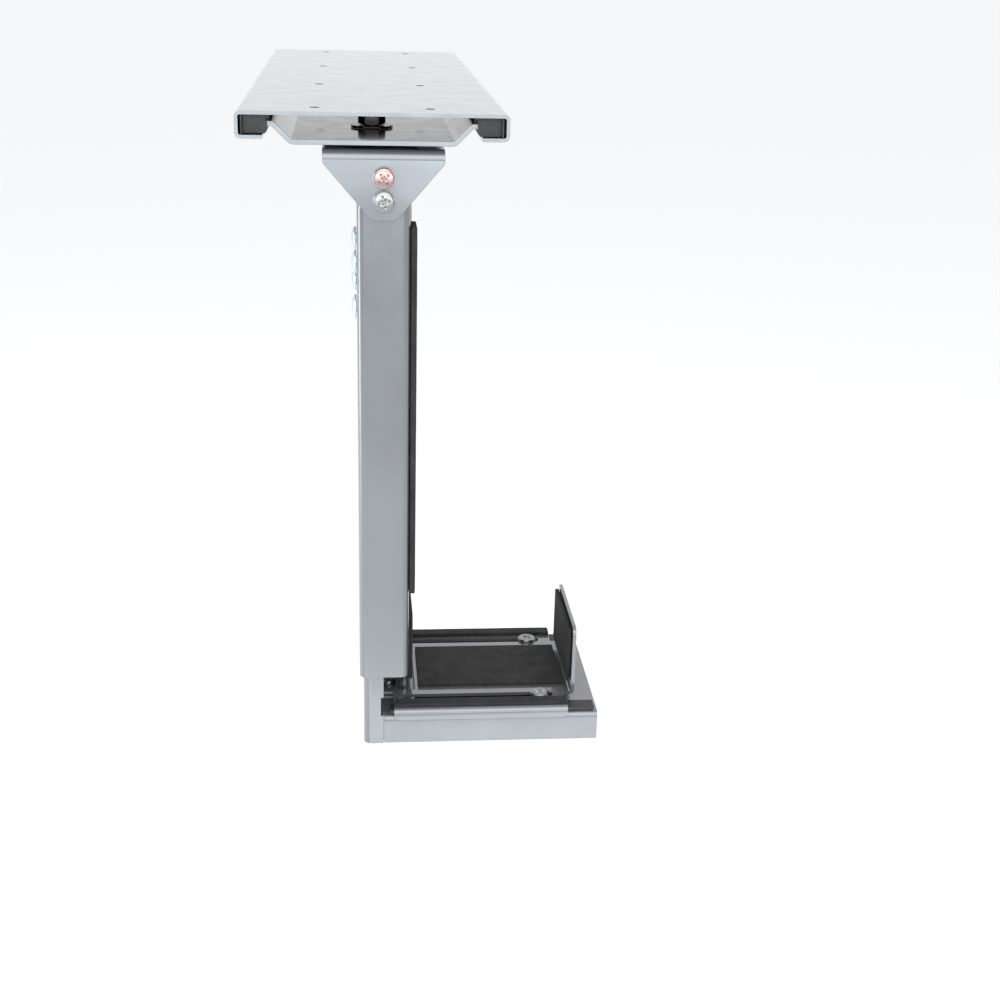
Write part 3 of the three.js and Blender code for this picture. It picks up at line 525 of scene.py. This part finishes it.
def cup_head_bolt(node, axis):
    """A domed head over a square neck."""
    start, length, across = node_frame(node, axis)
    head = across[0] / 2
    dome = CUP_HEAD_HEIGHT - CUP_RIM_HEIGHT
    shank_length = length - CUP_HEAD_HEIGHT
    profile = shank_profile(M6_SHANK, shank_length) + [(head - 0.15 * MM, 0), (head, 0.15 * MM)]
    for angle in range(0, 90, 9):
        turn = math.radians(angle)
        profile.append((head * math.cos(turn), CUP_RIM_HEIGHT + dome * math.sin(turn)))
    profile.append((0, CUP_HEAD_HEIGHT))
    corners = [(x * M6_SHANK, y * M6_SHANK) for x, y in ((-1, -1), (1, -1), (1, 1), (-1, 1))]
    square = bevelled(prism(corners, -CUP_NECK_LENGTH, 0.3 * MM), 0.35 * MM)
    mesh = boolean(lathe(profile, 64), square, "UNION")
    placed(mesh, axis, start + direction(axis) * shank_length)
    # The whole head takes the lighter edge coat, the colour used as painted highlight on the sheet edges.
    piece(f"{node}_cup_head", mesh, node, ["edge_coat_painted_highlight"])


def chamfered_hexagon(flat, height):
    """A hexagon with corners on the Y axis, turned down to a cone at both faces."""
    corner = flat / math.cos(math.pi / 6)
    steps = [math.radians(60 * i + 90) for i in range(6)]
    body = prism([(corner * math.cos(a), corner * math.sin(a)) for a in steps], 0, height)
    drop = 0.62 * MM
    cone = lathe([(0, 0), (flat * 0.97, 0), (corner, drop), (corner * 1.001, height - drop),
                  (flat * 0.97, height), (0, height)], 72)
    return boolean(body, cone, "INTERSECT")


def bored(body, bore, height):
    """A through hole with a small countersink at both faces."""
    lip = 0.45 * MM
    mouth = bore + OVERCUT + lip
    hole = lathe([(0, -OVERCUT), (mouth, -OVERCUT), (bore, lip), (bore, height - lip),
                  (mouth, height + OVERCUT), (0, height + OVERCUT)], 48)
    return boolean(body, hole, "DIFFERENCE")


def hex_nut(node, axis, bore, collar=0.0, flange=0.0):
    """A chamfered hexagon nut, with a nylon-lock collar on top or a flange below where it has one."""
    start, height, across = node_frame(node, axis)
    flat = FLANGE_NUT_FLAT if flange else across[0] / 2
    body = chamfered_hexagon(flat, height - collar)
    if collar:
        inner = flat * 0.90
        top = lathe([(0, height - collar - 0.5 * MM), (inner, height - collar - 0.5 * MM),
                     (inner, height - collar * 0.55)]
                    + arc((inner - collar * 0.5, height - collar * 0.5), collar * 0.5, 0, 90)
                    + [(bore + 0.5 * MM, height), (0, height)], 64)
        body = boolean(body, top, "UNION")
    if flange:
        edge = across[0] / 2
        skirt = lathe([(0, 0), (edge - 0.15 * MM, 0), (edge, 0.15 * MM), (edge, flange * 0.45),
                       (edge - 0.3 * MM, flange * 0.65), (flat, flange + 0.5 * MM),
                       (0, flange + 0.5 * MM)], 64)
        body = boolean(body, skirt, "UNION")
    body = bevelled(bored(body, bore, height), HEXAGON_EDGE, segments=2, angle=28)
    piece(f"{node}_hex", placed(body, axis, start), node, [SLOT_OF[node]])


def hex_bolt(node, axis, head_height, shank):
    """A hexagon head, with corners to the sides, on a plain shank. The head comes first along the axis."""
    start, length, across = node_frame(node, axis)
    head = chamfered_hexagon(across[0] / 2, head_height)
    head.transform(Matrix.Rotation(math.pi / 2, 4, "Z"))
    tip = lathe([(0, head_height - 1 * MM), (shank, head_height - 1 * MM), (shank, length - 0.8 * MM),
                 (shank - 0.7 * MM, length), (0, length)], 48)
    mesh = bevelled(boolean(head, tip, "UNION"), HEXAGON_EDGE, segments=2, angle=28)
    piece(f"{node}_hex", placed(mesh, axis, start), node, [SLOT_OF[node]])


def stop_pin(node):
    """A short pin, domed where it comes through the lip."""
    start, length, across = node_frame(node, "+z")
    radius = across[0] / 2
    dome = arc((0, radius * 0.5), radius, -60, -30, 3)
    profile = [(0, 0)] + [(x, max(0.0, z + radius * 0.5)) for x, z in dome]
    profile += [(radius, radius * 0.6), (radius, length - 0.15 * MM)]
    profile += [(radius - 0.15 * MM, length), (0, length)]
    piece(f"{node}_pin", placed(lathe(profile, 24), "+z", start), node, [SLOT_OF[node]])


def ring(node, bore, fillet=0.18 * MM):
    """A washer or disc, turned round, with its edges broken."""
    low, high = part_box(node)
    outer = (high.y - low.y) / 2
    height = high.z - low.z
    profile = [(bore + fillet, 0), (outer - fillet, 0)]
    profile += arc((outer - fillet, fillet), fillet, -90, 0, 4)[1:]
    profile += arc((outer - fillet, height - fillet), fillet, 0, 90, 4)
    profile += [(bore + fillet, height), (bore, height - fillet), (bore, fillet)]
    centre = (low + high) / 2
    mesh = placed(lathe(profile, 96), "+z", Vector((centre.x, centre.y, low.z)))
    piece(f"{node}_ring", mesh, node, [SLOT_OF[node]])


# ---------------------------------------------------------------- foam pads
PAD_GRID = 5 * MM
PAD_EDGE_SHARE = 0.26  # of the thickness, as is the next
PAD_CROWN_SHARE = 0.09
PAD_SKIN_SCALE = 90
PAD_SKIN_SHIFT = 31  # places each pad elsewhere in the noise, so that no two skins are alike


def foam_pad(node, face):
    """A die-cut foam strip: soft edges, a low crown on its free face and a slightly uneven skin."""
    low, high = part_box(node)
    size = high - low
    index = "xyz".index(face[1])
    outward = 1 if face[0] == "+" else -1
    work = bmesh.new()
    bmesh.ops.create_cube(work, size=1.0)
    bmesh.ops.transform(work, matrix=Matrix.Diagonal((*size, 1)), verts=work.verts)
    thickness = size[index]
    bmesh.ops.bevel(work, geom=work.edges, offset=thickness * PAD_EDGE_SHARE, segments=4, affect="EDGES",
                    profile=0.6)
    for axis in range(3):
        if axis == index:
            continue
        count = max(4, round(size[axis] / PAD_GRID))
        for i in range(1, count):
            point = Vector((0, 0, 0))
            point[axis] = -size[axis] / 2 + size[axis] * i / count
            normal = Vector((0, 0, 0))
            normal[axis] = 1
            whole = work.verts[:] + work.edges[:] + work.faces[:]
            bmesh.ops.bisect_plane(work, geom=whole, plane_co=point, plane_no=normal)
    centre = (low + high) / 2
    sink = PAD_CROWN_SHARE * thickness
    for vertex in work.verts:
        place = vertex.co
        across = [abs(2 * place[i] / size[i]) for i in range(3) if i != index]
        free_side = 0.5 + outward * place[index] / thickness
        skin = noise.noise(place * PAD_SKIN_SCALE + centre * PAD_SKIN_SHIFT)
        dip = max(across) ** 6 * 0.5 + 0.5 * (0.5 + 0.5 * skin)
        place[index] -= outward * sink * dip * free_side
    bmesh.ops.translate(work, vec=centre, verts=work.verts)
    mesh = bpy.data.meshes.new(node)
    work.to_mesh(mesh)
    work.free()
    built = piece(f"{node}_foam", mesh, node, ["black_foam"], smooth_angle=60)


# ---------------------------------------------------------------- the object
make_camera()

for sheet_node, cut_axis in (("desk_track", "y"), ("carriage_plate", "y"), ("swivel_bracket", None),
                             ("outer_column", "z"), ("inner_column", "z"), ("tray_base", None),
                             ("side_plate", "y"), ("tray_slider", None)):
    sheet_metal(sheet_node, cut_axis)

for nylon_node in ("glide_front_left", "glide_front_right", "glide_rear_left", "glide_rear_right",
                   "column_guide_front", "column_guide_rear", "slide_strip_front", "slide_strip_rear"):
    moulding(nylon_node)

# The black disc reaches the bracket's edges: part swivel disc, part a dark sheet for the painted shade in
# the gap under the carriage.
ring("swivel_disc", PIVOT_BORE, fillet=0.4 * MM)
ring("pivot_washer_upper", PIVOT_BORE)
ring("pivot_washer_lower", PIVOT_BORE)
hex_nut("pivot_nut", "-z", PIVOT_BORE, collar=NYLON_COLLAR)
hex_bolt("pivot_bolt", "-z", PIVOT_HEAD_HEIGHT, PIVOT_SHANK)

SWING_STEP = 67  # each pair's recesses are turned on by this, so that no two look alike
swing = 38
for end, screw_axis in (("front", "-y"), ("rear", "+y")):
    for level, plating in (("upper", "tinted_zinc"), ("lower", "zinc_steel")):
        cross_head_screw(f"bracket_screw_{end}_{level}", screw_axis, M6_SHANK, BRACKET_SCREW_HEAD_HEIGHT,
                         swing, plating)
        hex_nut(f"bracket_nut_{end}_{level}", "+y", M6_BORE)
        cup_head_bolt(f"height_bolt_{end}_{level}", "-x")
        hex_nut(f"height_nut_{end}_{level}", "+x", M6_BORE, flange=NUT_FLANGE)
        swing += SWING_STEP
    cross_head_screw(f"side_plate_screw_{end}", "+z", M5_SHANK, SIDE_PLATE_SCREW_HEAD_HEIGHT, swing)
    cross_head_screw(f"lock_screw_{end}", "+z", M5_SHANK, LOCK_SCREW_HEAD_HEIGHT, swing + 13)
    ring(f"lock_washer_{end}", M5_BORE)
    hex_nut(f"lock_nut_{end}", "+z", M5_BORE)
    hex_nut(f"side_plate_nut_{end}", "+z", M5_BORE)
    for side in ("left", "right"):
        stop_pin(f"{end}_stop_pin_{side}")

for pad_node, pad_face in (("upper_pad_front", "+x"), ("upper_pad_rear", "+x"), ("side_pad", "+x"),
                           ("lip_pad", "-x"), ("floor_pad_front", "+z"), ("floor_pad_rear", "+z"),
                           ("floor_pad_middle", "+z")):
    foam_pad(pad_node, pad_face)

for node_name, cad_object in frame["nodes"].items():
    cad_object.data.materials.clear()
    cad_object.data.materials.append(MATERIALS[SLOT_OF[node_name]])


# ---------------------------------------------------------------- floor and studio light
FLOOR_HEIGHT = -0.78  # a desk's height below the track
FLOOR_SIZE = 100.0  # its far edge stays above the picture


def make_floor():
    work = bmesh.new()
    bmesh.ops.create_grid(work, x_segments=1, y_segments=1, size=FLOOR_SIZE / 2)
    mesh = bpy.data.meshes.new("floor")
    work.to_mesh(mesh)
    work.free()
    floor = bpy.data.objects.new("floor", mesh)
    floor.location.z = FLOOR_HEIGHT
    shader = Shader("studio_floor", Roughness=0.9)
    shader.surface.inputs["Base Color"].default_value = (0.93, 0.93, 0.93, 1)
    mesh.materials.append(shader.material)
    bpy.context.collection.objects.link(floor)


def soft_box(name, place, target, width, height, power, colour=(1, 1, 1)):
    data = bpy.data.lights.new(name, "AREA")
    data.shape = "RECTANGLE"
    data.size = width
    data.size_y = height
    data.energy = power
    data.color = colour
    light = bpy.data.objects.new(name, data)
    light.location = place
    light.rotation_euler = (Vector(target) - Vector(place)).to_track_quat("-Z", "Y").to_euler()
    light.visible_camera = False
    bpy.context.collection.objects.link(light)


def make_light():
    world = bpy.data.worlds.new("studio")
    world.use_nodes = True
    background = world.node_tree.nodes["Background"]
    background.inputs["Color"].default_value = (0.985, 0.99, 1.0, 1)
    background.inputs["Strength"].default_value = 1.0
    bpy.context.scene.world = world
    middle = (0.03, -0.15, -0.18)
    soft_box("key", (-1.5, -1.7, 0.9), middle, width=1.6, height=1.6, power=8)
    soft_box("front_high", (0.1, -1.8, 1.05), (0.0, -0.2, -0.02), width=2.2, height=1.5, power=24,
             colour=(0.98, 0.98, 1.0))
    soft_box("front_low", (0.0, -2.0, -0.17), (0.0, -0.2, -0.06), width=1.8, height=0.30, power=5.6,
             colour=(0.88, 0.97, 1.0))
    soft_box("front_floor", (0.05, -0.84, -0.76), (0.04, -0.2, -0.36), width=0.9, height=0.16, power=0.8,
             colour=(0.93, 0.98, 1.0))
    soft_box("left_edge", (-1.9, -0.1, 0.0), middle, width=0.9, height=1.8, power=22,
             colour=(0.90, 0.97, 1.0))
    bpy.context.scene.view_settings.view_transform = "Standard"


make_floor()
make_light()
